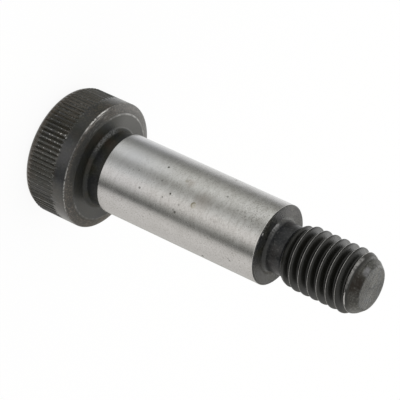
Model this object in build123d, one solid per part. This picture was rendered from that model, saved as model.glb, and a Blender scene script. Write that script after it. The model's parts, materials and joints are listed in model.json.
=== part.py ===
from build123d import *

import os
from math import ceil, radians, tan

# Socket shoulder bolt, turned and rolled from one bar of steel.
#
# Frame: millimetres. +Z runs along the bolt's axis, from the head to the threaded tip. The origin is
# the centre of the seat, the flat ring under the head that bears on the work. The bolt stands on the
# flat end of its head, which lies at z = -head_height.

# ----------------------------------------------------------------------------------------------------
# Driving sizes
# ----------------------------------------------------------------------------------------------------

# Head
head_diameter = 16.0
head_height = 7.0
head_lead_height = 1.3  # shallow cone below the knurled wall, measured to the socket end
head_lead_angle = 25.0
head_rim_radius = 1.35  # rounding between that cone and the socket end
seat_diameter = 13.5  # flat ring that bears on the work
seat_bevel_height = 0.5  # how far the cone outside the seat falls away at the head's wall

# Straight knurl on the head's wall
knurl_grooves = 84
knurl_depth = 0.22
knurl_angle = 90.0  # angle between the two flanks of a groove
knurl_land = 2.15  # plain band between the seat and the grooves
knurl_runout = 0.4  # length over which a groove's bottom ramps out at that band

# Hex socket
socket_flats = 5.0  # across flats
socket_depth = 4.2
socket_point_height = 1.0  # shallow cone that the punch leaves below the flats
socket_mouth_diameter = 6.0  # lead-in cone at the face, at 45 degrees

# Ground shoulder, and the neck that lets the wheel run out under the head
shoulder_diameter = 10.0
shoulder_length = 25.0  # from the seat to the shoulder's end face
shoulder_bevel = 0.12  # broken edge at both ends of the ground length
neck_diameter = 9.4
neck_length = 2.1
neck_blend = 0.55  # how far the curve in the corner under the head runs along each of its two walls

# Metric coarse thread, right-handed
thread_diameter = 8.0
thread_allowance = 0.13  # crests stand this much below the nominal diameter
thread_pitch = 1.25
thread_flank_angle = 60.0
thread_reach = 13.0  # from the shoulder's end face to the tip
relief_diameter = 6.2
relief_length = 2.6  # from the shoulder's end face to the start of the run-in cone
relief_blend = 0.6  # how far the curve in the corner at the shoulder's end runs along each wall
run_in_angle = 45.0  # of the cone that leads from the relief up to the crests
tip_diameter = 5.4  # flat inside the tip's bevel
tip_bevel_angle = 45.0

# ----------------------------------------------------------------------------------------------------
# Derived sizes
# ----------------------------------------------------------------------------------------------------

head_radius = head_diameter / 2
seat_radius = seat_diameter / 2
neck_radius = neck_diameter / 2
shoulder_radius = shoulder_diameter / 2
relief_radius = relief_diameter / 2
crest_radius = (thread_diameter - thread_allowance) / 2
tip_radius = tip_diameter / 2

socket_face = -head_height
lead_start = socket_face + head_lead_height
lead_radius = head_radius - head_lead_height * tan(radians(head_lead_angle))
shoulder_end = shoulder_length
tip_end = shoulder_end + thread_reach
run_in_start = shoulder_end + relief_length
run_in_end = run_in_start + (crest_radius - relief_radius) * tan(radians(run_in_angle))
tip_bevel_start = tip_end - (crest_radius - tip_radius) * tan(radians(tip_bevel_angle))

# The basic triangle of the thread: crests are cut flat an eighth of its pitch wide, and the grooves
# go 1.22687 / 2 pitches deep from the nominal diameter, which is the usual root of an external thread.
crest_flat = thread_pitch / 8
groove_depth = 0.613435 * thread_pitch
flank_slope = tan(radians(thread_flank_angle / 2))


def turned_blank():
    """The bolt as it leaves the lathe: one half section turned about the axis."""
    under_head = Bezier(
        (neck_radius + neck_blend, 0),
        (neck_radius, 0),
        (neck_radius, neck_blend),
    )
    under_shoulder = Bezier(
        (relief_radius + relief_blend, shoulder_end),
        (relief_radius, shoulder_end),
        (relief_radius, shoulder_end + relief_blend),
    )
    rim = FilletPolyline(
        (0, socket_face),
        (lead_radius, socket_face),
        (head_radius, lead_start),
        radius=head_rim_radius,
    )
    head_wall_and_seat = Polyline(
        rim @ 1,
        (head_radius, -seat_bevel_height),
        (seat_radius, 0),
        under_head @ 0,
    )
    neck_and_shoulder = Polyline(
        under_head @ 1,
        (neck_radius, neck_length),
        (shoulder_radius - shoulder_bevel, neck_length),
        (shoulder_radius, neck_length + shoulder_bevel),
        (shoulder_radius, shoulder_end - shoulder_bevel),
        (shoulder_radius - shoulder_bevel, shoulder_end),
        under_shoulder @ 0,
    )
    relief_and_thread = Polyline(
        under_shoulder @ 1,
        (relief_radius, run_in_start),
        (crest_radius, run_in_end),
        (crest_radius, tip_bevel_start),
        (tip_radius, tip_end),
        (0, tip_end),
        rim @ 0,
    )
    outline = rim + head_wall_and_seat + under_head + neck_and_shoulder + under_shoulder + relief_and_thread
    return revolve(Plane.XZ * make_face(outline), axis=Axis.Z)


def hex_socket():
    """The hexagonal recess for the key, with its lead-in cone and the punch's point."""
    flats_radius = socket_flats / 2
    mouth_radius = socket_mouth_diameter / 2
    face = Plane((0, 0, socket_face))
    hexagon = face * RegularPolygon(flats_radius, 6, major_radius=False)
    recess = extrude(hexagon, socket_depth)
    point = Pos(0, 0, socket_face + socket_depth) * Cone(
        flats_radius, 0, socket_point_height, align=(Align.CENTER, Align.CENTER, Align.MIN)
    )
    mouth = Pos(0, 0, socket_face) * Cone(
        mouth_radius, 0, mouth_radius, align=(Align.CENTER, Align.CENTER, Align.MIN)
    )
    return recess + point + mouth


def knurl_cutters():
    """Straight V grooves round the head's wall, whose bottoms ramp out at the plain band."""
    bottom = head_radius - knurl_depth
    outside = head_radius + knurl_depth
    half_mouth = (outside - bottom) * tan(radians(knurl_angle / 2))
    start = socket_face - knurl_depth
    section = Plane((0, 0, start)) * make_face(
        Polyline((bottom, 0), (outside, half_mouth), (outside, -half_mouth), close=True)
    )
    ramp = Plane((head_radius, 0, -knurl_land), x_dir=(0, 1, 0), z_dir=(-knurl_runout, 0, knurl_depth))
    groove = split(extrude(section, -start), ramp, keep=Keep.BOTTOM)
    return [Rot(0, 0, 360 * i / knurl_grooves) * groove for i in range(knurl_grooves)]


def thread_cutters():
    """The helical groove between the crests, turn by turn, from inside the relief to beyond the tip."""
    nominal_radius = thread_diameter / 2
    overshoot = crest_flat / 2
    bottom = nominal_radius - groove_depth
    outside = nominal_radius + overshoot
    half_mouth = (thread_pitch - crest_flat) / 2
    half_bottom = half_mouth - groove_depth * flank_slope
    half_outside = half_mouth + overshoot * flank_slope
    start = run_in_start - thread_pitch
    section = Plane.XZ * make_face(
        Polyline(
            (bottom, start - half_bottom),
            (outside, start - half_outside),
            (outside, start + half_outside),
            (bottom, start + half_bottom),
            close=True,
        )
    )
    turn = sweep(section, Helix(thread_pitch, thread_pitch, bottom, center=(0, 0, start)), is_frenet=True)
    turns = ceil((tip_end + thread_pitch - start) / thread_pitch)
    return [Pos(0, 0, i * thread_pitch) * turn for i in range(turns)]


def shoulder_bolt():
    """The whole bolt, as one solid."""
    bolt = turned_blank() - hex_socket()
    bolt -= knurl_cutters()
    bolt -= thread_cutters()
    return bolt


os.makedirs("parts", exist_ok=True)
export_step(shoulder_bolt(), "parts/shoulder_bolt.step")
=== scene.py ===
# %% [markdown]
# # A socket shoulder bolt
# A shoulder bolt is a pivot and a screw in one. A wheel or a lever turns on the plain shoulder, the
# thread holds the bolt in place, and a hex key turns it from the socket in the knurled head. The CAD
# model already has that shape. This lesson builds a finer skin over it, in the same place, and gives
# it the two finishes of the real bolt: black oxide all over, and bare ground steel on the shoulder.

# %% Load the CAD model as a fixed frame
import json
import math
from functools import cached_property
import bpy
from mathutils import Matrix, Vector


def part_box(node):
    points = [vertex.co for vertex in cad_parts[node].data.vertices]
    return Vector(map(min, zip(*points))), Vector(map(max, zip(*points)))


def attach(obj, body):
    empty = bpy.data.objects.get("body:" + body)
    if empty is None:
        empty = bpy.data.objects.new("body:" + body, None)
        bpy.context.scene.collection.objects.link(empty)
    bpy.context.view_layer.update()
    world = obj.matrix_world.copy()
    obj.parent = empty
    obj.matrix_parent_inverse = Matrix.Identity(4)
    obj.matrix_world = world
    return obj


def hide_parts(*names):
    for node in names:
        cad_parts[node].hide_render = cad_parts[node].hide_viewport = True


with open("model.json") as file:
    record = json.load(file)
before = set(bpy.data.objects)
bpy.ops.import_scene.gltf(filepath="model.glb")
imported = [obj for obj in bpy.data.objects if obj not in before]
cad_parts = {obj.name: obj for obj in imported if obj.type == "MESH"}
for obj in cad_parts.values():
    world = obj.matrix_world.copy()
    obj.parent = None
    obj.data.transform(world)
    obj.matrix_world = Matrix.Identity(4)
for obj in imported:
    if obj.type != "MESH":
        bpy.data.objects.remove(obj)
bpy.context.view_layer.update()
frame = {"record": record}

from types import SimpleNamespace

import bpy
import numpy as np
from mathutils import Matrix, Vector

# %% [markdown]
# ## Sizes
# The main sizes come from the CAD model: its box gives the head's radius and both ends, and the
# record's pin mount gives the shoulder's radius. The small features are not in the box, so they are
# named here, in millimetres as on a drawing. The skin is worked out in millimetres too, and becomes
# metres only when Blender gets it.

# %% Read the main sizes from the frame
MM = 0.001  # metres in a millimetre
low_corner, high_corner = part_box("shoulder_bolt")
mounts = {mount["name"]: mount for mount in frame["record"]["mounts"]}

head_radius = high_corner[0] / MM
socket_face = low_corner[2] / MM
tip_end = high_corner[2] / MM
shoulder_radius = mounts["shoulder"]["dims"]["r_mm"]
print(f"head radius {head_radius:.2f}, socket face {socket_face:.2f}, tip {tip_end:.2f} mm")

# %% Name the small features
lead_height = 1.3  # the shallow cone between the socket end and the head's wall
lead_slope = math.tan(math.radians(25))
rim_radius = 1.35
seat_radius = 6.75
seat_bevel = 0.5

neck_radius = 4.7
neck_end = 2.1
shoulder_bevel = 0.12
shoulder_end = 25.0

relief_radius = 3.1
run_in_start = 27.32  # where the 45 degree cone to the thread begins
first_turn = (28.2, 3.70, 0.33)  # height, radius and slope of the cone that holds the first crest down
groove_start = 27.6  # height of the first groove's middle
last_turn = (37.18, 3.36, -0.42)  # the same kind of cone for the last crest
tip_radius = 2.69
tip_slope = 0.82
crest_radius = 3.905
root_radius = 3.205
pitch = 1.25

socket_flat = 2.5  # from the axis to each of the six flats
socket_depth = 4.2
socket_point = 1.0
socket_mouth = 3.0

# %% [markdown]
# ## A skin made of rings
# Nearly every part of a turned bolt is a ring. One way to make it in Blender is the Screw modifier on
# an outline, but the knurl, the hex and the thread are not round, and all three have to join the round
# parts with no gap. So the skin is built ring by ring: each ring is a row of points round the axis, and
# neighbouring rings are joined by a band of faces. The result is one closed mesh, as the bolt is one
# piece of steel. A flat map is written at the same time, for textures: the angle round the axis runs
# across it, and the distance travelled along the outline runs up it.

# %% Columns round the axis
grooves = 84
column_places = np.array([0, 0.035, 0.26, 0.305, 1 / 3, 0.4, 0.5])  # from a groove's middle to the crest
column_places = np.array([*column_places, *1 - column_places[-2:0:-1]])
fine_turns = (np.arange(grooves)[:, None] + column_places).ravel() / grooves
coarse_turns = fine_turns[::4]  # three columns for each groove
columns = len(coarse_turns)
print(f"{len(fine_turns)} columns on the knurl, {columns} elsewhere")


# %% The skin
class Skin:
    """Points, faces and flat map of one closed surface, built from the socket's point to the tip."""

    def __init__(self):
        self.points = []
        self.along = []  # each point's distance along the outline
        self.faces = []
        self.places = []  # each face's corners on the flat map
        self.finishes = []
        self.sheet = None
        self.finish = 0

    def point(self, turn, radius, height, along):
        angle = 2 * math.pi * turn
        self.points.append((radius * math.cos(angle), radius * math.sin(angle), height))
        self.along.append(along)
        return len(self.points) - 1

    def face(self, *corners):
        """One face. A corner is a point with the turn at which the face meets it."""
        left, bottom, width, start = self.sheet
        self.faces.append([point for point, turn in corners])
        self.places.append(
            [(left + width * turn, bottom + self.along[point] - start) for point, turn in corners]
        )
        self.finishes.append(self.finish)


class Ring:
    """A row of points round the axis. Radius and height are one number, or one for each column."""

    def __init__(self, skin, turns, radius, height, before=None):
        self.skin = skin
        self.turns = list(turns) + [1.0]
        radii = np.broadcast_to(np.asarray(radius, float), len(turns))
        heights = np.broadcast_to(np.asarray(height, float), len(turns))
        self.middle = np.array((radii.mean(), heights.mean()))
        self.along = before.along + np.hypot(*(self.middle - before.middle)) if before else 0.0
        ring = [skin.point(t, r, z, self.along) for t, r, z in zip(turns, radii, heights)]
        self.points = ring + ring[:1]

    def corner(self, column):
        return self.points[column], self.turns[column]

    def centre(self, column):
        """The one point of a ring that has shrunk to the axis."""
        return self.points[0], (column + 0.5) / columns


def join(first, second):
    """A band of faces between two rings, which may differ four to one in their columns."""
    skin = first.skin
    many, few = len(first.turns) - 1, len(second.turns) - 1
    if many == few:
        for k in range(many):
            skin.face(first.corner(k), first.corner(k + 1), second.corner(k + 1), second.corner(k))
    elif few == 1:
        for k in range(many):
            skin.face(first.corner(k), first.corner(k + 1), second.centre(k))
    elif many == 1:
        for k in range(few):
            skin.face(first.centre(k), second.corner(k + 1), second.corner(k))
    elif many > few:
        for k in range(few):
            near, far = second.corner(k), second.corner(k + 1)
            skin.face(first.corner(4 * k), first.corner(4 * k + 1), near)
            skin.face(first.corner(4 * k + 1), first.corner(4 * k + 2), near)
            skin.face(first.corner(4 * k + 2), far, near)
            skin.face(first.corner(4 * k + 2), first.corner(4 * k + 3), far)
            skin.face(first.corner(4 * k + 3), first.corner(4 * k + 4), far)
    else:
        for k in range(many):
            near, far = first.corner(k), first.corner(k + 1)
            skin.face(near, second.corner(4 * k + 1), second.corner(4 * k))
            skin.face(near, second.corner(4 * k + 2), second.corner(4 * k + 1))
            skin.face(near, far, second.corner(4 * k + 2))
            skin.face(far, second.corner(4 * k + 3), second.corner(4 * k + 2))
            skin.face(far, second.corner(4 * k + 4), second.corner(4 * k + 3))
    return second


# %% [markdown]
# ## Rounded corners
# No real edge is sharp: grinding, tumbling and handling leave a small radius, which catches the light.
# A Bevel modifier could add it afterwards, but on an outline it is simpler to round each corner before
# the outline is turned. Each arc gets a guard point on either side, so that smooth shading stays on the
# arc and the flat beside it stays flat.


# %% Round the corners of an outline
def eased(corners, steps=4, guard=0.04):
    """Points along an outline of (radius, height, rounding) corners."""
    places = [np.array(corner[:2], float) for corner in corners]
    path = [places[0]]
    for before, here, after, corner in zip(places, places[1:], places[2:], corners[1:]):
        back = (before - here) / np.linalg.norm(before - here)
        ahead = (after - here) / np.linalg.norm(after - here)
        turn = math.pi - math.acos(np.clip(back @ ahead, -1, 1))
        reach = corner[2] * math.tan(turn / 2)
        start, end = here + back * reach, here + ahead * reach
        path.append(start + back * guard)
        for t in np.linspace(0, 1, steps + 1):
            weights = np.array([(1 - t) ** 2, 2 * t * (1 - t) * math.cos(turn / 2), t**2])
            path.append(weights @ np.array([start, here, end]) / weights.sum())
        path.append(end + ahead * guard)
    return path + [places[-1]]


def soft_least(first, second, rounding):
    """The smaller of two values, with the corner between them rounded."""
    share = np.clip(0.5 + 0.5 * (second - first) / rounding, 0, 1)
    return second + (first - second) * share - rounding * share * (1 - share)


# %% [markdown]
# ## The hex socket
# A punch forms the socket in the cold blank: six flats, a shallow point where the punch stopped, and a
# cone at the mouth that leads the key in. The flats are straight lines, so each column's radius is the
# flat's distance divided by the cosine of the angle from the flat's middle. Where the mouth's cone cuts
# the flats, the edge dips towards each corner, and the same radius gives its height.

# %% Build the socket
BLACK_OXIDE, TURNED_FACE, GROUND_STEEL = 0, 1, 2  # the order of the materials
HEAD_SHEET = (0.0, 0.0, 50.0)  # left, bottom and width on the flat map, in millimetres

skin = Skin()
skin.sheet = (*HEAD_SHEET, 0.0)  # the last number is the distance along the outline where it starts
skin.finish = BLACK_OXIDE

from_corner = (coarse_turns * 360 + 30) % 60 - 30  # degrees from the nearest corner
hex_radius = socket_flat / np.cos(np.radians(30 - np.abs(from_corner)))
socket_floor = socket_face + socket_depth

ring = Ring(skin, [0.0], 0, socket_floor + socket_point)
for share in (0.35, 0.7, 1.0):
    wall_point = (share * socket_flat, socket_floor + (1 - share) * socket_point)
    ring = join(ring, Ring(skin, coarse_turns, *wall_point, ring))
ring = join(ring, Ring(skin, coarse_turns, hex_radius, socket_floor, ring))
edge_height = socket_face + socket_mouth - hex_radius
for share in (0.02, 0.5, 0.98, 1.0):
    height = socket_floor + (edge_height - socket_floor) * share
    ring = join(ring, Ring(skin, coarse_turns, hex_radius, height, ring))
ring = join(ring, Ring(skin, coarse_turns, socket_mouth, socket_face, ring))

# %% [markdown]
# ## The knurled head
# A knurling wheel is pressed into the head's wall and rolls 84 straight grooves into it, so that fingers
# can spin the bolt in. The grooves run out over the rounded rim at one end and ramp up to a plain band at
# the other. Each groove is a V of 90 degrees: its radius grows by as much as the column stands away from
# the groove's middle. Taking the smaller of that and the turned radius cuts the groove, and the grooves
# then fade on the rim by themselves. No two grooves come out alike, so each gets its own small error.

# %% Cut the knurl into the turned radius
rng = np.random.default_rng(8)
knurl_depth = 0.25
knurl_bottom = head_radius - knurl_depth
crest_softness = 0.06
ramp_end = -2.15
ramp_length = 0.4
depth_error, end_error = 0.012, 0.07  # how much the grooves differ
groove_share = np.tile(np.minimum(column_places, 1 - column_places), grooves)
groove_width = groove_share * 2 * math.pi * head_radius / grooves
groove_shallow = np.repeat(rng.normal(0, depth_error, grooves), len(column_places))
groove_stop = ramp_end + np.repeat(rng.normal(0, end_error, grooves), len(column_places))


def knurled(radius, height):
    """The turned radius with the grooves cut into it, for every fine column."""
    ramp = np.maximum(0, height - groove_stop + ramp_length) * knurl_depth / ramp_length
    groove = knurl_bottom + groove_shallow + groove_width + ramp
    return soft_least(radius, groove, crest_softness)


# %% Build the rim and the knurled wall
lead_start = socket_face + lead_height
lead_radius = head_radius - lead_height * lead_slope
wall_step, ramp_step = 0.7, 0.08  # the ramps need finer rows than the straight grooves
ramp_start, band_start = -2.8, -1.85
on_wall = -3.2  # any height on the wall, to aim the outline at
rim = eased(
    [
        (socket_mouth, socket_face, 0),
        (lead_radius, socket_face, rim_radius),
        (head_radius, lead_start, 0.25),
        (head_radius, on_wall, 0),
    ],
    steps=8,
)
for radius, height in rim[1:4]:
    ring = join(ring, Ring(skin, coarse_turns, radius, height, ring))
for radius, height in rim[4:-1]:
    ring = join(ring, Ring(skin, fine_turns, knurled(radius, height), height, ring))
wall_heights = [
    *np.arange(rim[-2][1] + wall_step, ramp_start - 0.1, wall_step),
    *np.arange(ramp_start, band_start, ramp_step),
]
for height in wall_heights:
    ring = join(ring, Ring(skin, fine_turns, knurled(head_radius, height), height, ring))

# %% [markdown]
# ## Band, seat, neck and shoulder
# From the plain band on, the blank is round again, so one outline carries the skin over the bevel, the
# flat seat that bears on the work, the neck where the grinding wheel runs out, the ground shoulder and
# the relief behind the thread. Grinding removes the black oxide, so the faces between the two bevels of
# the shoulder get the bright finish. Faces that lie square to the axis are marked as turned.

# %% Turn the outline from the band to the relief
outline = eased(
    [
        (head_radius, wall_heights[-1], 0),
        (head_radius, -seat_bevel, 0.1),
        (seat_radius, 0, 0.3),
        (neck_radius, 0, 0.5),
        (neck_radius, neck_end, 0.04),
        (shoulder_radius - shoulder_bevel, neck_end, 0.04),
        (shoulder_radius, neck_end + shoulder_bevel, 0.08),
        (shoulder_radius, shoulder_end - shoulder_bevel, 0.08),
        (shoulder_radius - shoulder_bevel, shoulder_end, 0.06),
        (relief_radius, shoulder_end, 0.5),
        (relief_radius, run_in_start, 0.15),
        (relief_radius + 0.1, run_in_start + 0.1, 0),
    ]
)
next_sheets = [(neck_end, (0.0, 30.0, 31.4)), (shoulder_end, (33.0, 30.0, 25.0))]  # start height, sheet
level, wide = 0.02, 0.1  # a turned face is this level and this wide, or more so
for radius, height in outline[1:]:
    before_radius, before_height = ring.middle
    face = abs(height - before_height) < level and abs(before_radius - radius) > wide
    ground = before_height > neck_end and min(before_radius, radius) > shoulder_radius - level
    skin.finish = GROUND_STEEL if ground else TURNED_FACE if face else BLACK_OXIDE
    if next_sheets and height >= next_sheets[0][0]:
        skin.sheet = (*next_sheets.pop(0)[1], ring.along)
    ring = join(ring, Ring(skin, coarse_turns, radius, height, ring))
skin.finish = BLACK_OXIDE
print(f"{len(skin.faces)} faces up to the relief")

# %% [markdown]
# ## The thread
# A thread is rolled, not cut: two dies press the grooves in, and the steel rises between them. The Screw
# modifier can sweep a tooth along a helix, but its two ends would stay cut off square. Here the rows of
# points themselves climb with the helix, one pitch for each turn, so every crest is a clean edge. The
# thread's radius is then held inside cones: the run-in behind it, the bevel at the tip, and a slimmer
# cone over the first and the last turn, so both ends fade out as they do on the real bolt.

# %% The thread's radius at each place
flank_rise = 1 / math.tan(math.radians(30))
crest_flat = pitch / 8
thread_depth = 0.613435 * pitch  # of every metric bolt thread
root_half = (pitch - crest_flat) / 2 - thread_depth / flank_rise  # half the root's width
root_rounding, crest_rounding, cone_rounding, bevel_rounding = 0.16, 0.1, 0.06, 0.08
row_places = np.array([-0.625, -0.57, -0.53, -0.49, -0.43, -0.3, -0.17, -0.11, -0.055])
row_places = np.array([*row_places, 0, *-row_places[:0:-1]])  # from one crest to just before the next
rows = len(row_places)


def threaded(height, offset):
    """The radius at a height, where the groove's middle is this far away along the axis."""
    flank = root_radius + (np.abs(offset) - root_half) * flank_rise
    groove = -soft_least(-flank, -root_radius, root_rounding)
    tooth = soft_least(groove, crest_radius, crest_rounding)
    radius = soft_least(tooth, relief_radius + height - run_in_start, cone_rounding)
    for start, start_radius, slope in (first_turn, last_turn):
        radius = soft_least(radius, start_radius + slope * (height - start), cone_rounding)
    return soft_least(radius, tip_radius + tip_slope * (tip_end - height), bevel_rounding)


def row_height(column, row):
    lift = pitch * (row // rows + column / columns)
    return groove_start + lift + row_places[row % rows]


# %% [markdown]
# ## Rows that climb
# Because the rows climb, the last column meets the first one a whole pitch higher up, so its corners are
# taken from the first column one turn further on. At both ends the rows are trimmed where they would pass
# the plain ring that they join, and a trimmed row leaves a triangle.

# %% Lay out the rows of the thread
thread_low = outline[-1][1]
thread_end_radius = root_radius - 0.08
thread_high = tip_end - (thread_end_radius - tip_radius) / tip_slope
clearance = 0.02  # between a row and the plain ring
full_thread_height = 32.0  # a height far from both ends of the thread

tooth_places = [*row_places, row_places[0] + pitch]
tooth_outline = [(place, threaded(full_thread_height, place)) for place in tooth_places]
row_lengths = np.hypot(*np.diff(tooth_outline, axis=0).T)
row_along = np.concatenate([[0], np.cumsum(row_lengths)])
turn_along = row_along[-1]
helix_start = ring.along + 2 * turn_along


def first_and_last(column):
    """The first and the last row of a column that lie between the two plain rings."""
    low, high = thread_low + clearance, thread_high - clearance
    candidates = [row for row in range(-2 * rows, 11 * rows) if low < row_height(column, row) < high]
    return candidates[0], candidates[-1]


lowest, highest = zip(*(first_and_last(column) for column in range(columns + 1)))
net = {}
for column in range(columns):
    for row in range(lowest[column], highest[column] + 1):
        height = row_height(column, row)
        radius = float(threaded(height, row_places[row % rows]))
        along = row_along[row % rows] + turn_along * (row // rows + column / columns)
        net[column, row] = skin.point(column / columns, radius, height, helix_start + along)


def net_corner(column, row):
    key = (column, row) if column < columns else (0, row + rows)
    return net[key], column / columns


# %% Join the rows and both ends
below = ring
above = Ring(skin, coarse_turns, thread_end_radius, thread_high, below)
above.along = helix_start + turn_along * (thread_high - groove_start) / pitch
for point in above.points[:-1]:
    skin.along[point] = above.along
for k in range(columns):
    low_row, next_low = lowest[k], lowest[k + 1]
    high_row, next_high = highest[k], highest[k + 1]
    skin.face(below.corner(k), below.corner(k + 1), net_corner(k + 1, next_low), net_corner(k, low_row))
    if next_low < low_row:
        skin.face(net_corner(k, low_row), net_corner(k + 1, next_low), net_corner(k + 1, low_row))
    for row in range(low_row, next_high):
        near, far = net_corner(k, row), net_corner(k + 1, row)
        skin.face(near, far, net_corner(k + 1, row + 1), net_corner(k, row + 1))
    if next_high < high_row:
        skin.face(net_corner(k, next_high), net_corner(k + 1, next_high), net_corner(k, high_row))
    skin.face(net_corner(k, high_row), net_corner(k + 1, next_high), above.corner(k + 1), above.corner(k))
print(f"{len(skin.faces)} faces up to the tip's bevel")

# %% Close the tip
tip_outline = [(above.middle[0], thread_high, 0), (tip_radius, tip_end, 0.4), (0, tip_end, 0)]
for radius, height in eased(tip_outline)[1:-1]:
    above = join(above, Ring(skin, coarse_turns, radius, height, above))
skin.finish = TURNED_FACE
for share in (0.75, 0.5, 0.25):
    above = join(above, Ring(skin, coarse_turns, tip_radius * share, tip_end, above))
join(above, Ring(skin, [0.0], 0, tip_end, above))

# %% [markdown]
# ## From rows of numbers to a Blender mesh
# One call turns the skin into a mesh, and its flat map and its finishes follow. The map is named OFBake,
# so the textures baked later use it as it is. Shading is smooth all over, apart from edges that turn by
# more than 40 degrees, such as the corners of the hex.

# %% Make the bolt's mesh
SHEET_SIZE = 60.0
mesh = bpy.data.meshes.new("bolt_skin")
mesh.from_pydata([[value * MM for value in point] for point in skin.points], [], skin.faces)
sheet = np.array([corner for face in skin.places for corner in face])
flat_map = mesh.uv_layers.new(name="OFBake")
flat_map.data.foreach_set("uv", sheet.ravel() / SHEET_SIZE)
mesh.polygons.foreach_set("material_index", skin.finishes)
mesh.shade_smooth()
mesh.set_sharp_from_angle(angle=math.radians(40))
bolt = bpy.data.objects.new("bolt_skin", mesh)
bpy.context.scene.collection.objects.link(bolt)
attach(bolt, "root")
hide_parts("shoulder_bolt")
print(f"{len(mesh.vertices)} points, {len(mesh.polygons)} faces, map up to {sheet.max(0)} mm")

# %% [markdown]
# ## Shader maths in plain sums
# A finish is a sum of small causes: clouds in the oxide, wear on the edges, marks of the grinding wheel.
# In the node editor each plus sign is a node. A small class round a socket lets the same network be
# written as arithmetic, and one method adds every other kind of node.


# %% A socket that can be used in sums
class Wire:
    """One output socket. Sums on it add Math nodes to its recipe."""

    def __init__(self, recipe, socket):
        self.recipe = recipe
        self.socket = socket

    def __add__(self, other):
        return self.recipe.maths("ADD", self, other)

    def __sub__(self, other):
        return self.recipe.maths("SUBTRACT", self, other)

    def __rsub__(self, other):
        return self.recipe.maths("SUBTRACT", other, self)

    def __mul__(self, other):
        return self.recipe.maths("MULTIPLY", self, other)

    def __truediv__(self, other):
        return self.recipe.maths("DIVIDE", self, other)

    def __pow__(self, other):
        return self.recipe.maths("POWER", self, other)

    __radd__ = __add__
    __rmul__ = __mul__


# %% A recipe of nodes
class Recipe:
    """The nodes of one material or of the world."""

    def __init__(self, tree):
        self.tree = tree
        tree.nodes.clear()

    def add(self, kind, settings=None, sockets=None, output=0):
        """A node of any kind: its settings first, then the values or wires of its sockets."""
        node = self.tree.nodes.new(kind)
        for name, value in (settings or {}).items():
            setattr(node, name, value)
        for name, value in (sockets or {}).items():
            if isinstance(value, Wire):
                self.tree.links.new(value.socket, node.inputs[name])
            else:
                node.inputs[name].default_value = value
        return Wire(self, node.outputs[output])

    def maths(self, operation, *values):
        return self.add("ShaderNodeMath", {"operation": operation}, dict(enumerate(values)))

    def parts(self, vector):
        """The three parts of a vector."""
        return [self.add("ShaderNodeSeparateXYZ", {}, {0: vector}, axis) for axis in range(3)]

    def scaled(self, vector, factors):
        return self.add("ShaderNodeVectorMath", {"operation": "MULTIPLY"}, {0: vector, 1: factors})

    def noise(self, vector, scale, detail, roughness):
        sockets = {"Vector": vector, "Scale": scale, "Detail": detail, "Roughness": roughness}
        return self.add("ShaderNodeTexNoise", {}, sockets)

    def rise(self, value, start, end):
        """0 before the start, 1 past the end, and a soft step between."""
        sockets = {"Value": value, "From Min": start, "From Max": end}
        return self.add("ShaderNodeMapRange", {"interpolation_type": "SMOOTHSTEP"}, sockets)

    def within(self, value, start, end, soft):
        """1 between the start and the end, and 0 outside."""
        return self.rise(value, start - soft, start + soft) * (1 - self.rise(value, end - soft, end + soft))

    def mixed(self, share, first, second):
        """The first colour where the share is 0 and the second where it is 1."""
        return self.add("ShaderNodeMix", {"data_type": "RGBA"}, {0: share, 6: first, 7: second}, 2)

    def layered(self, colour, tints):
        """A colour with tints laid over it in turn. Each tint is a share and a colour."""
        for share, tint in tints:
            colour = self.mixed(share, colour, (*tint, 1))
        return colour

    def ramp(self, value, stops):
        """A colour that changes with a value, from stop to stop. Each stop is a value and a colour."""
        colour = self.add("ShaderNodeValToRGB", {}, {"Fac": value})
        elements = colour.socket.node.color_ramp.elements
        while len(elements) < len(stops):
            elements.new(1.0)
        for element, (position, tint) in zip(elements, stops):
            element.position = position
            element.color = (*tint, 1.0)
        return colour

    def bump(self, height, distance, strength):
        sockets = {"Height": height, "Distance": distance * MM, "Strength": strength}
        return self.add("ShaderNodeBump", {}, sockets)

    def finish(self, shader, kind="ShaderNodeOutputMaterial"):
        """The tree's last node, with the shader on it."""
        end = self.tree.nodes.new(kind)
        self.tree.links.new(shader.socket, end.inputs["Surface"])


def new_material(name, kind):
    material = bpy.data.materials.new(name)
    material.use_nodes = True
    return material, kind(material.node_tree)


# %% [markdown]
# ## Finding a place on the bolt
# Every mark on a turned part has an address: how high up it is, how far from the axis, and how far round.
# The recipes for the bolt work those three out from the object's own coordinates. Angles are counted
# from the bolt's front, the side it is seen from.

# %% A recipe that knows its place on the bolt
FRONT = -75.0  # the front's compass angle, in degrees


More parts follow.
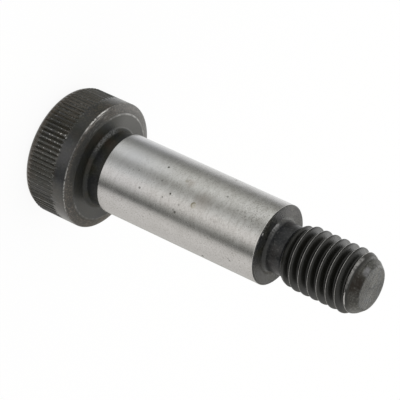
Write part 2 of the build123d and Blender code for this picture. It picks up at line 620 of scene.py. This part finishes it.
class BoltRecipe(Recipe):
    """The nodes of a finish on the bolt. Places are in millimetres, and angles in degrees."""

    def __init__(self, tree):
        super().__init__(tree)
        metres = self.add("ShaderNodeTexCoord", output="Object")
        self.place = self.scaled(metres, (1 / MM, 1 / MM, 1 / MM))
        self.x, self.y, self.z = self.parts(self.place)

    @cached_property
    def radius(self):
        return (self.x * self.x + self.y * self.y) ** 0.5

    @cached_property
    def turn(self):
        return self.maths("ARCTAN2", self.y, self.x) / (2 * math.pi)

    @cached_property
    def angle(self):
        return (self.maths("FRACT", self.turn - FRONT / 360 + 0.5) - 0.5) * 360

    def outward(self, angle):
        """How far a place lies from the axis in the direction at this angle from the front."""
        angle = math.radians(FRONT + angle)
        return self.x * math.cos(angle) + self.y * math.sin(angle)

    def wrapped(self, across, along):
        """A place in a noise wrapped round the bolt: its scale round the bolt and along the outline."""
        x, y = across * self.x / self.radius, across * self.y / self.radius
        return self.add("ShaderNodeCombineXYZ", {}, {0: x, 1: y, 2: along * (self.radius + self.z)})

    def heights(self, start, end, soft):
        """1 between two heights, and 0 outside."""
        return self.within(self.z, start, end, soft)

    def radii(self, start, end, soft):
        """1 between two radii, and 0 outside."""
        return self.within(self.radius, start, end, soft)

    def angles(self, start, end, soft):
        """1 between two angles from the front, and 0 outside."""
        return self.within(self.angle, start, end, soft)


# %% [markdown]
# ## Black oxide
# Black oxide is a thin layer of magnetite grown on the steel in hot salts, then oiled. It is nearly black,
# with faint brown, green and blue clouds, and it is satin, so it shines only at a glancing angle. Its
# uneven look comes from noises of different sizes. Two of them are wrapped round the bolt, because the
# tool's marks under the oxide run round it, and one is drawn out into strokes for the tip's flat.


# %% The noises of the oxide
def textures(recipe):
    """Noises from large clouds to fine specks, and the wrapped and drawn-out ones."""
    strokes = recipe.add("ShaderNodeCombineXYZ", {}, {0: 4 * recipe.outward(0), 1: 0.8 * recipe.outward(90)})
    return SimpleNamespace(
        clouds=recipe.noise(recipe.place, 0.4, 4.0, 0.6),
        patches=recipe.noise(recipe.place, 1.7, 3.0, 0.6),
        grain=recipe.noise(recipe.place, 4.5, 3.0, 0.7),
        specks=recipe.noise(recipe.place, 5.0, 2.0, 0.5),
        streaks=recipe.noise(recipe.wrapped(9, 7), 1.0, 3.0, 0.6),
        turned=recipe.noise(recipe.wrapped(7, 22), 1.0, 3.0, 0.6),
        strokes=recipe.noise(strokes, 1.0, 3.0, 0.6),
    )


# %% The parts of the bolt
last_crest_low, last_crest_high = tip_end - 1.6, tip_end - 1.22
tip_bevel_low = tip_end - 1.05
near_crest = 3.6  # a radius just inside the crests, well outside the relief


def features(recipe):
    """Where each part of the bolt is: a mask that is 1 on the part and 0 off it."""
    rise, heights, radii, z, radius = recipe.rise, recipe.heights, recipe.radii, recipe.z, recipe.radius
    beside_turns = rise(radius, near_crest, near_crest - 0.2)
    return SimpleNamespace(
        rim=rise(z, socket_face + 1.5, socket_face + 0.9),
        knurl=heights(socket_face + 0.9, ramp_end - 0.1, 0.15),
        band=heights(ramp_end, -seat_bevel, 0.2),
        bevel=heights(-seat_bevel, 0.1, 0.04) * rise(radius, seat_radius, seat_radius + 0.3),
        seat=heights(-0.3, 0.06, 0.03) * rise(radius, seat_radius, seat_radius - 0.1),
        neck_fillet=radii(neck_radius + 0.02, neck_radius + 0.55, 0.05) * heights(0.03, 0.5, 0.03),
        end_face=heights(shoulder_end - 0.04, shoulder_end + 0.04, 0.03),
        relief_fillet=radii(relief_radius + 0.05, relief_radius + 0.55, 0.05)
        * heights(shoulder_end + 0.02, shoulder_end + 0.5, 0.03),
        relief=heights(shoulder_end + 0.15, run_in_start + 0.3, 0.1) * beside_turns,
        turns=heights(run_in_start, tip_end - 1, 0.2),
        tip_bevel=heights(tip_bevel_low, tip_end - 0.03, 0.06) * rise(radius, near_crest, near_crest - 0.1),
        tip_flat=rise(z, tip_end - 0.06, tip_end - 0.01),
    )


# %% [markdown]
# ### Where the oxide has worn through
# Oxide is only a few thousandths of a millimetre thick, so it wears through on edges first: the crests of
# the knurl where fingers turn it, the corner of the head, and the crests of the thread. The same share of
# bare steel also paints a highlight on one side of the head's corner and on the bevel beside it, and a
# glint along the rim of the seat. The masks find those edges by their height and radius, and on the thread
# by how far a place lies past the flank. A noise breaks each line up.


# %% Wear and painted highlights on the head
def head_wear_and_highlights(recipe, on, noise):
    """The share of bare steel on the head, with a painted highlight on one side of its corner and a painted
    glint on the seat's rim.
    """
    rise, heights, radii, angles = recipe.rise, recipe.heights, recipe.radii, recipe.angles
    handled = angles(-11, 15, 5)
    # the side where the corner faces the light: a painted highlight on the corner and on the bevel beside it
    painted_highlight_side = angles(-50, -21, 7)
    knurl_crest = rise(recipe.radius, head_radius - 0.03, head_radius - 0.005) * on.knurl
    corner = radii(head_radius - 0.1, head_radius + 1, 0.05)
    corner = corner * heights(-seat_bevel - 0.07, -seat_bevel + 0.07, 0.04)
    # a painted glint along the seat's rim, left off the front and weaker on the side past it
    seat_rim_glint = radii(seat_radius - 0.1, seat_radius + 0.1, 0.06) * heights(-0.1, 0.1, 0.05)
    seat_rim_glint = seat_rim_glint * (1 - angles(-50, 50, 12)) * (1 - 0.5 * rise(recipe.angle, 0, 10))
    beside_corner = on.bevel * painted_highlight_side * rise(recipe.radius, head_radius - 0.4, head_radius - 0.05)
    # the corner's thin line all round is wear; its brighter part on the lit side and the bevel's streaks
    # there are painted highlight
    return (
        knurl_crest * rise(noise.specks, 0.60, 0.66) * (0.2 + 0.8 * handled)
        + knurl_crest * handled * 0.07 * rise(noise.patches, 0.3, 0.5)
        + corner * (0.12 + 0.5 * painted_highlight_side + 0.2 * angles(12, 60, 9)) * rise(noise.specks, 0.3, 0.62)
        + beside_corner * (0.05 + 0.5 * rise(noise.turned, 0.45, 0.6))
        + on.bevel * painted_highlight_side * rise(noise.turned, 0.54, 0.66) * 0.15
        + seat_rim_glint * (0.1 + 0.25 * rise(noise.patches, 0.4, 0.7))
    )


# %% Wear on the thread
def worn_thread(recipe, noise):
    """The share of bare steel on the thread: a line along each crest, and broad patches on the last."""
    rise, z, radius = recipe.rise, recipe.z, recipe.radius
    from_groove = recipe.maths("FRACT", (z - groove_start) / pitch - recipe.turn)
    past_flank = from_groove - (root_half + (radius - root_radius) / flank_rise) / pitch

    on_thread = rise(z, run_in_start + 0.2, run_in_start + 0.5) * rise(z, tip_end - 0.85, tip_end - 1.05)
    on_thread = on_thread * (0.35 + 0.65 * rise(z, run_in_start + 0.9, run_in_start + 1.2))
    on_thread = on_thread * rise(radius, root_radius, root_radius + 0.1) * rise(past_flank, 0.003, 0.012)
    crest_line = on_thread * rise(past_flank, 0.055, 0.035)
    broad_line = on_thread * rise(past_flank, 0.15, 0.12) * recipe.angles(27, 54, 3)
    broad_line = broad_line * rise(z, last_crest_low - 0.05, last_crest_low + 0.05)
    last_crest = recipe.heights(last_crest_low, last_crest_high, 0.05)
    last_crest = last_crest * rise(radius, near_crest - 0.1, near_crest)
    last_crest = last_crest * recipe.angles(-48, 20, 5) * (1 - 0.35 * rise(recipe.angle, -16, -4))
    broad = last_crest * (0.1 + 0.25 * rise(noise.patches, 0.35, 0.6)) + broad_line * 0.6
    return crest_line * (0.6 + 0.4 * rise(noise.specks, 0.4, 0.6)) + (1 - crest_line) * broad


# %% [markdown]
# ### The oxide's colours
# The oxide takes a different shade wherever the steel under it was made in another way. The turned bevel
# under the head is brown and shows the tool's lines, the band beside the knurl is bluish, dust sits in
# the grooves, and the sawn tip is grey. Some tints are painted light and shade instead: highlights on the
# neck's fillet, the relief's fillet and one side of the bearing faces, and shade on the thread, the seat,
# the end face and the relief's fillet. Each shade is a tint, a mask and a colour, and the tints are laid
# over each other in order, like washes of paint.

# %% Tints of the head
def head_tints(recipe, on, noise, dull_band):
    """Brown and dark lines on the bevel, a painted highlight on the neck's fillet, blue on the band's front,
    and dust in the grooves.
    """
    rise, angles = recipe.rise, recipe.angles
    inner_front = angles(-38, 28, 8) * rise(recipe.radius, head_radius - 0.25, head_radius - 0.75)
    browned = on.bevel * (0.35 + 0.65 * rise(noise.streaks, 0.45, 0.6)) * (1 - inner_front)
    bared = on.bevel * rise(noise.specks, 0.54, 0.68) * (1 - 0.7 * inner_front)
    # a painted highlight on one side of the neck's fillet, broken up by grain
    painted_neck_highlight = on.neck_fillet * angles(-62, -12, 8) * rise(noise.grain, 0.4, 0.6)
    blued = on.band * angles(-12, 34, 12) * rise(noise.patches, 0.2, 0.6)
    dusty = on.knurl * rise(recipe.radius, head_radius - 0.03, head_radius - 0.1)
    return [
        (browned, (0.042, 0.033, 0.025)),
        (on.bevel * rise(noise.turned, 0.5, 0.36), (0.006, 0.005, 0.004)),
        (bared * 0.7, (0.12, 0.098, 0.08)),
        (on.bevel * inner_front * 0.8, (0.004, 0.004, 0.003)),
        (painted_neck_highlight, (0.10, 0.104, 0.108)),
        (blued * 0.8, (0.013, 0.014, 0.019)),
        (dull_band * rise(noise.specks, 0.45, 0.65), (0.055, 0.045, 0.032)),
        (dusty * (0.3 + 0.6 * rise(recipe.angle, -12, -28)), (0.064, 0.057, 0.046)),
        (on.rim * 0.7, (0.045, 0.032, 0.018)),
    ]


# %% Tints of the turned faces and of the tip
def face_tints(recipe, noise, nick):
    """A painted highlight in streaks on the fillet beside the relief, the nick in the shoulder's edge, and a
    painted highlight on the lamp's side of the bearing faces.
    """
    # a painted highlight: pale streaks on the relief's fillet, on one side of the front
    pale_place = recipe.angles(-46, -8, 6) * recipe.radii(relief_radius + 0.03, relief_radius + 0.34, 0.04)
    pale_place = pale_place * recipe.heights(shoulder_end + 0.04, shoulder_end + 0.5, 0.04)
    bearing = recipe.heights(-0.06, 0.06, 0.03)
    bearing = bearing + recipe.heights(shoulder_end - 0.06, shoulder_end + 0.06, 0.03)
    return [
        (pale_place * recipe.rise(noise.streaks, 0.35, 0.6) + nick, (0.34, 0.34, 0.35)),
        # a painted highlight: the seat and the shoulder's end face lighter on the lamp's side
        (bearing * recipe.angles(-150, -68, 14) * 0.75, (0.095, 0.094, 0.09)),
    ]


def tip_tints(recipe, on, noise):
    """A dusty bevel with one rubbed place, and a flat with bluish patches and strokes."""
    rise = recipe.rise
    pale_place = recipe.heights(tip_end - 0.55, tip_end - 0.03, 0.12) * recipe.angles(-42, -20, 5)
    return [
        (on.tip_bevel * 0.7, (0.045, 0.045, 0.04)),
        (pale_place * rise(noise.patches, 0.3, 0.6), (0.15, 0.15, 0.16)),
        (on.tip_flat * rise(noise.patches, 0.42, 0.6) * 0.8, (0.050, 0.058, 0.070)),
        (on.tip_flat * rise(noise.strokes, 0.42, 0.6) * 0.6, (0.10, 0.098, 0.086)),
        (on.tip_flat * rise(noise.strokes, 0.47, 0.35), (0.010, 0.010, 0.008)),
    ]


# %% Grain and dark places
def grain_tints(recipe, on, noise):
    """Light specks in the oxide, coarser from the shoulder's end face on."""
    rise = recipe.rise
    inner_end_face = on.end_face * rise(recipe.radius, shoulder_radius - 0.4, shoulder_radius - 0.7)
    inner_end_face = inner_end_face * recipe.angles(-48, 42, 8)
    coarse = rise(recipe.z, shoulder_end - 0.1, shoulder_end) * rise(noise.grain, 0.5, 0.72)
    coarse = coarse * (1 - 0.8 * inner_end_face) * (0.7 + 0.3 * on.tip_flat) * (1 - on.turns)
    mottled = on.end_face * recipe.angles(-120, -42, 10) * rise(noise.patches, 0.4, 0.6)
    return [
        (rise(noise.grain, 0.5, 0.75) * (0.5 - 0.3 * on.turns), (0.05, 0.05, 0.045)),
        (coarse, (0.16, 0.16, 0.15)),
        (mottled * 0.6, (0.05, 0.046, 0.054)),
    ]


def dark_tints(recipe, on, noise, thick):
    """The darker places: the thread with painted shade on its flanks, thick oxide on the tip, painted shade
    on the seat and the end face, a darker, bluish relief and painted shade on its fillet.
    """
    angles = recipe.angles
    # painted shade on the seat and the shoulder's end face, on the side away from the lamp
    painted_shade_on_faces = on.seat * angles(-20, 110, 15) + on.end_face * angles(38, 110, 12)
    return [
        # the thread darker all over, and painted shade on its flanks, deeper towards the front
        (on.turns * (0.6 + 0.35 * angles(-50, 60, 12)), (0.003, 0.003, 0.002)),
        (recipe.rise(noise.grain, 0.5, 0.25) * 0.7, (0.003, 0.003, 0.002)),
        (thick, (0.012, 0.008, 0.005)),
        (painted_shade_on_faces * 0.45, (0.003, 0.003, 0.002)),
        (on.relief * 0.6, (0.012, 0.013, 0.017)),
        # painted shade on the front of the relief's fillet, darkening its reflection there
        (on.relief_fillet * angles(-22, 60, 10) * 0.7, (0.006, 0.006, 0.006)),
    ]


# %% [markdown]
# ### The finished oxide
# A worn place is bare steel, so it turns metallic as well as pale. The wall of the head has a thin clear
# coat of oil, rubbed off where the band is dull, and the grain also lifts the surface a little. The
# same recipe makes two materials. Faces that were turned square to the axis carry fine rings from the
# tool, which stretch a highlight across them, so the second material is anisotropic.

# %% Mix the black oxide
def black_oxide(name, constants, roughness):
    """Add one material of blacked steel to the mesh."""
    material, recipe = new_material(name, BoltRecipe)
    noise, on = textures(recipe), features(recipe)
    rise, angles = recipe.rise, recipe.angles
    dull_band = on.band * angles(-110, -30, 15)
    nick = angles(-6.5, -3.5, 1.5) * recipe.radii(shoulder_radius - 0.38, shoulder_radius - 0.14, 0.05)
    nick = nick * rise(recipe.z, shoulder_end - 0.1, shoulder_end - 0.05)
    thick = on.tip_bevel * (0.85 * angles(-18, 26, 12) + 0.35 * angles(30, 58, 16))
    thick = thick * (0.6 + 0.4 * rise(noise.streaks, 0.35, 0.55))

    brown, green, blue = (0.017, 0.012, 0.007), (0.010, 0.011, 0.007), (0.009, 0.010, 0.012)
    clouded = recipe.ramp(noise.clouds, [(0.36, brown), (0.48, green), (0.62, blue)])
    tints = [(on.tip_flat, (0.045, 0.044, 0.041))]
    tints += head_tints(recipe, on, noise, dull_band) + face_tints(recipe, noise, nick)
    tints += tip_tints(recipe, on, noise) + grain_tints(recipe, on, noise)
    tints += dark_tints(recipe, on, noise, thick)
    # bare steel where the oxide is worn, and in the same share the painted highlight and glint of the head
    wear_and_painted_glints = head_wear_and_highlights(recipe, on, noise) + worn_thread(recipe, noise) + nick * 0.3
    tints += [(wear_and_painted_glints, (0.72, 0.71, 0.70))]

    oily_wall = 0.7 - 0.4 * on.rim - 0.45 * angles(-55, -10, 10) - 0.2 * dull_band
    unevenness = 0.14 * noise.patches + 0.16 * (noise.grain - 0.5)
    grain_height = 1 + 3 * on.tip_flat + 3 * on.end_face + 2 * dull_band + 2 * on.bevel
    height = noise.grain * grain_height + 2 * noise.turned * on.bevel
    shader = recipe.add("ShaderNodeBsdfPrincipled", {}, {
        **constants,
        "Base Color": recipe.layered(clouded, tints),
        "Metallic": wear_and_painted_glints + 0.75 * thick,
        "Coat Weight": rise(recipe.z, 0.0, -1.0) * oily_wall,
        "Roughness": roughness + unevenness + 0.3 * on.neck_fillet + 0.12 * dull_band,
        "Normal": recipe.bump(height, 0.02, 0.7),
    })
    recipe.finish(shader)
    mesh.materials.append(material)
    print(f"{name}: {len(recipe.tree.nodes)} nodes")


black_oxide("black_oxide", {"Specular IOR Level": 0.4, "Coat Roughness": 0.2}, 0.25)
black_oxide("black_oxide_turned", {"Anisotropic": 0.8, "Anisotropic Rotation": 0.25}, 0.26)

# %% [markdown]
# ## Ground steel
# The shoulder is ground after blacking, to a hundredth of a millimetre, because it is a bearing. The wheel
# leaves very fine lines round the bolt, so the noises for them are squeezed along the axis. The steel is
# bright, but not clean: it has small pits where a grain broke out, scuffs from other bolts in the box, a
# ring-shaped stain where a drop dried, and a few darker smears.

# %% The wheel's lines
ground_steel, recipe = new_material("ground_steel", BoltRecipe)
lines = recipe.noise(recipe.scaled(recipe.place, (0.6, 0.6, 14.0)), 1.0, 3.0, 0.6)
short_lines = recipe.noise(recipe.scaled(recipe.place, (3.0, 3.0, 9.0)), 1.0, 3.0, 0.6)
rubs = recipe.noise(recipe.scaled(recipe.place, (0.8, 0.8, 2.4)), 1.1, 3.0, 0.65)
smears = recipe.noise(recipe.place, 0.5, 3.0, 0.6)
speckle = recipe.noise(recipe.place, 5.5, 2.0, 0.6)

# %% Place the marks on the shoulder
PIT_SOFTNESS = 0.06
pits = [  # angle from the front, height, radius and darkness
    (-35.7, 9.8, 0.13, 0.9), (-2.3, 12.0, 0.12, 0.9), (-13.6, 10.2, 0.12, 0.6), (6.3, 11.2, 0.11, 0.5),
    (7.9, 7.9, 0.14, 0.6), (-13.3, 6.8, 0.12, 0.45), (-11.0, 6.1, 0.1, 0.4), (18.0, 13.4, 0.15, 0.8),
    (16.0, 13.1, 0.12, 0.5), (-32.0, 18.6, 0.15, 0.55), (51.7, 21.7, 0.13, 0.6), (49.5, 21.5, 0.1, 0.4),
    (72.6, 17.4, 0.16, 0.8), (76.7, 20.0, 0.12, 0.5), (45.6, 9.1, 0.1, 0.3), (6.7, 13.6, 0.13, 0.4),
    (-74.0, 17.2, 0.2, 0.4), (75.2, 17.3, 0.13, 0.5),
]


def mark(angle, height, size, soft):
    """1 inside a ball of this radius round a place on the shoulder, and 0 outside."""
    angle = math.radians(FRONT + angle)
    centre = (shoulder_radius * math.cos(angle), shoulder_radius * math.sin(angle), height)
    sockets = {0: recipe.place, 1: centre}
    distance = recipe.add("ShaderNodeVectorMath", {"operation": "DISTANCE"}, sockets, 1)
    return recipe.rise(distance, size + soft, size - soft)


pitted = sum(mark(angle, height, size, PIT_SOFTNESS) * depth for angle, height, size, depth in pits)
scuffed = mark(-13, 17.5, 5.5, 3.0) + 0.7 * mark(-36, 23, 2.0, 1.5)
peppered = mark(-30, 22.8, 1.7, 2.0) * recipe.rise(speckle, 0.5, 0.7)
smudge = mark(-11, 16.3, 0.9, 0.8) + mark(-27, 13.6, 0.5, 0.4)
bluish = mark(-32, 5, 3.0, 6.0)
stain = mark(-1, 15.42, 0.36, 0.08)
stain_edge = stain - mark(-0.3, 15.55, 0.33, 0.08) + 0.5 * mark(-28, 13.0, 0.2, 0.15)

# %% Mix the ground steel
scratch = recipe.rise(short_lines, 0.58, 0.74) * (0.25 + 0.75 * scuffed)
glint = recipe.rise(short_lines, 0.42, 0.3) * scuffed
rubbed_side = recipe.rise(recipe.outward(-20), 2.2, 4.2)
steel_colour = recipe.layered(
    recipe.ramp(smears, [(0.3, (0.58, 0.575, 0.565)), (0.7, (0.63, 0.625, 0.62))]),
    [
        (scratch * 0.5 + recipe.rise(speckle, 0.48, 0.75) * 0.45, (0.22, 0.21, 0.19)),
        (peppered * 0.6, (0.15, 0.145, 0.13)),
        (glint * 0.6, (0.80, 0.80, 0.78)),
        (recipe.rise(rubs, 0.5, 0.66) * 0.35 * rubbed_side, (0.41, 0.395, 0.375)),
        (recipe.rise(rubs, 0.48, 0.34) * 0.4 * rubbed_side, (0.72, 0.72, 0.715)),
        (smudge * 0.45, (0.33, 0.285, 0.25)),
        (bluish * 0.9, (0.585, 0.595, 0.63)),
        (stain * 0.25, (0.46, 0.43, 0.30)),
        (stain_edge * 0.8, (0.17, 0.14, 0.08)),
        (pitted, (0.07, 0.07, 0.06)),
    ],
)
surface_height = lines + short_lines * (0.4 + scuffed) - 2.0 * pitted
shader = recipe.add("ShaderNodeBsdfPrincipled", {}, {
    "Metallic": 1.0,
    "Base Color": steel_colour,
    "Roughness": 0.2 + 0.05 * smears + 0.04 * lines + 0.08 * scuffed * short_lines + 0.2 * pitted,
    "Normal": recipe.bump(surface_height, 0.004, 0.6),
})
recipe.finish(shader)
mesh.materials.append(ground_steel)
print(f"ground steel: {len(recipe.tree.nodes)} nodes, {len(pits)} pits")

# %% [markdown]
# ## The floor
# The bolt stands on a wide white sheet that keeps a faint shadow. The sheet glows to the camera alone,
# so it runs into the white behind it with no edge, and it casts no extra light on the bolt.

# %% Lay the floor
half_floor = 2.0
square = [(-1, -1), (1, -1), (1, 1), (-1, 1)]
corners = [(x * half_floor, y * half_floor, low_corner[2]) for x, y in square]
floor_mesh = bpy.data.meshes.new("floor")
floor_mesh.from_pydata(corners, [], [(0, 1, 2, 3)])
floor = bpy.data.objects.new("floor", floor_mesh)
bpy.context.scene.collection.objects.link(floor)
floor.visible_glossy = False

paper, recipe = new_material("white_paper", Recipe)
white = recipe.add("ShaderNodeBsdfDiffuse", {}, {"Color": (0.94, 0.94, 0.95, 1)})
glow = recipe.add("ShaderNodeEmission", {}, {"Strength": 1.0})
seen = recipe.add("ShaderNodeLightPath", output="Is Camera Ray")
sheet_of_paper = recipe.add("ShaderNodeMixShader", {}, {0: seen * 0.92, 1: white, 2: glow})
recipe.finish(sheet_of_paper)
floor_mesh.materials.append(paper)

# %% [markdown]
# ## The surroundings
# A polished cylinder shows its surroundings more than itself. In a light tent they are white, with
# darker gaps between the panels, and those gaps become the long grey bands on the shoulder. The
# surroundings are the world's colour here. The camera looks down, so the upright shoulder reflects what
# lies below the horizon, where the brightness depends only on the compass direction and the bands run
# straight along the bolt. Above it the tent is white, with two darker patches that the faces square to
# the axis reflect. The floor is left out of reflections.

# %% Read the direction in turns from the front
world = bpy.data.worlds.new("tent")
world.use_nodes = True
world.cycles.sampling_method = "NONE"
bpy.context.scene.world = world
recipe = Recipe(world.node_tree)
east, north, up = recipe.parts(recipe.add("ShaderNodeTexCoord", output="Generated"))
compass = recipe.maths("ARCTAN2", north, east) / (2 * math.pi)
around = recipe.maths("FRACT", compass - FRONT / 360)

# %% Set up the ring of panels
panels = [  # degrees from the front and brightness
    (0, 0.89), (12, 0.92), (20, 0.9), (28, 0.67), (38, 0.39), (48, 0.13), (57, 0.05), (61, 0.45),
    (68, 0.73), (84, 0.81), (140, 0.68), (150, 0.66), (160, 0.55), (175, 0.54), (186, 0.82),
    (192, 0.94), (208, 1.0), (218, 0.85), (228, 0.74), (240, 0.37), (250, 0.27), (264, 0.32),
    (276, 0.6), (300, 0.9), (312, 0.78), (325, 0.43), (336, 0.39), (348, 0.64), (360, 0.89),
]


def tinted(degrees, level):
    """A little warm on the camera's right, greenish in the gaps and neutral on its left."""
    bright = level > 0.6
    red = 1.03 if degrees < 180 and bright else 1.0
    blue = 1.0 if 180 < degrees < 245 else 0.965 if bright else 0.94
    return level * red, level, level * blue


ring_of_panels = recipe.ramp(around, [(degrees / 360, tinted(degrees, level)) for degrees, level in panels])

# %% Close the tent above
def patch(start, end, soft, full, gone):
    """1 between two angles from the front, up to the height where it starts to fade."""
    return recipe.within(around, start / 360, end / 360, soft / 360) * recipe.rise(up, gone, full)


ceiling = recipe.mixed(patch(155, 176, 8, 0.42, 0.62), (1, 0.99, 0.955, 1), (0.42, 0.39, 0.34, 1))
ceiling = recipe.mixed(patch(190, 236, 10, 0.6, 0.8), ceiling, (0.86, 0.855, 0.83, 1))
below_horizon = recipe.rise(up, -0.1, -0.2)
tent = recipe.mixed(below_horizon, ceiling, ring_of_panels)
recipe.finish(recipe.add("ShaderNodeBackground", {}, {"Color": tent}), "ShaderNodeOutputWorld")

# %% [markdown]
# ## Lamp and camera
# One weak soft lamp on the far side lifts the edge of the head. The camera looks down on the standing
# bolt from the front with a long lens, rolled so that the bolt lies across the picture.

# %% Hang the lamp
def compass_point(azimuth, elevation=0.0):
    """The direction at this compass angle and this height over the horizon."""
    azimuth, elevation = math.radians(azimuth), math.radians(elevation)
    level = math.cos(elevation)
    return Vector((level * math.cos(azimuth), level * math.sin(azimuth), math.sin(elevation)))


def facing(target, towards, distance):
    """The placing of a lamp or a camera that looks at the target from this side."""
    turned = towards.to_track_quat("Z", "Y").to_matrix().to_4x4()
    return Matrix.Translation(target + towards * distance) @ turned


softbox = bpy.data.lights.new("side_softbox", "AREA")
softbox.size = 0.2
softbox.energy = 0.2
lamp = bpy.data.objects.new("side_softbox", softbox)
lamp.matrix_world = facing(Vector((0, 0, 0.013)), compass_point(FRONT - 150, 25), 0.4)
bpy.context.scene.collection.objects.link(lamp)

# %% Place the camera
camera_elevation = 28.74
camera_roll = 114.79
camera_distance = 0.2947
aim = (Vector((0, 0, 13.17)) + 0.97 * compass_point(FRONT - 90)) * MM
focal_share = 6.2745  # the focal length over the sensor's width
lens = bpy.data.cameras.new("camera")
lens.sensor_width = 36.0
lens.lens = lens.sensor_width * focal_share
lens.clip_start = 0.01
camera = bpy.data.objects.new("camera", lens)
level_view = facing(aim, compass_point(FRONT, camera_elevation), camera_distance)
camera.matrix_world = level_view @ Matrix.Rotation(math.radians(camera_roll), 4, "Z")
bpy.context.scene.collection.objects.link(camera)
bpy.context.scene.camera = camera
print(f"camera {camera_distance} m away, lens {lens.lens:.0f} mm")

# %% Finish
bpy.context.scene.view_settings.view_transform = "Standard"
bpy.context.view_layer.update()
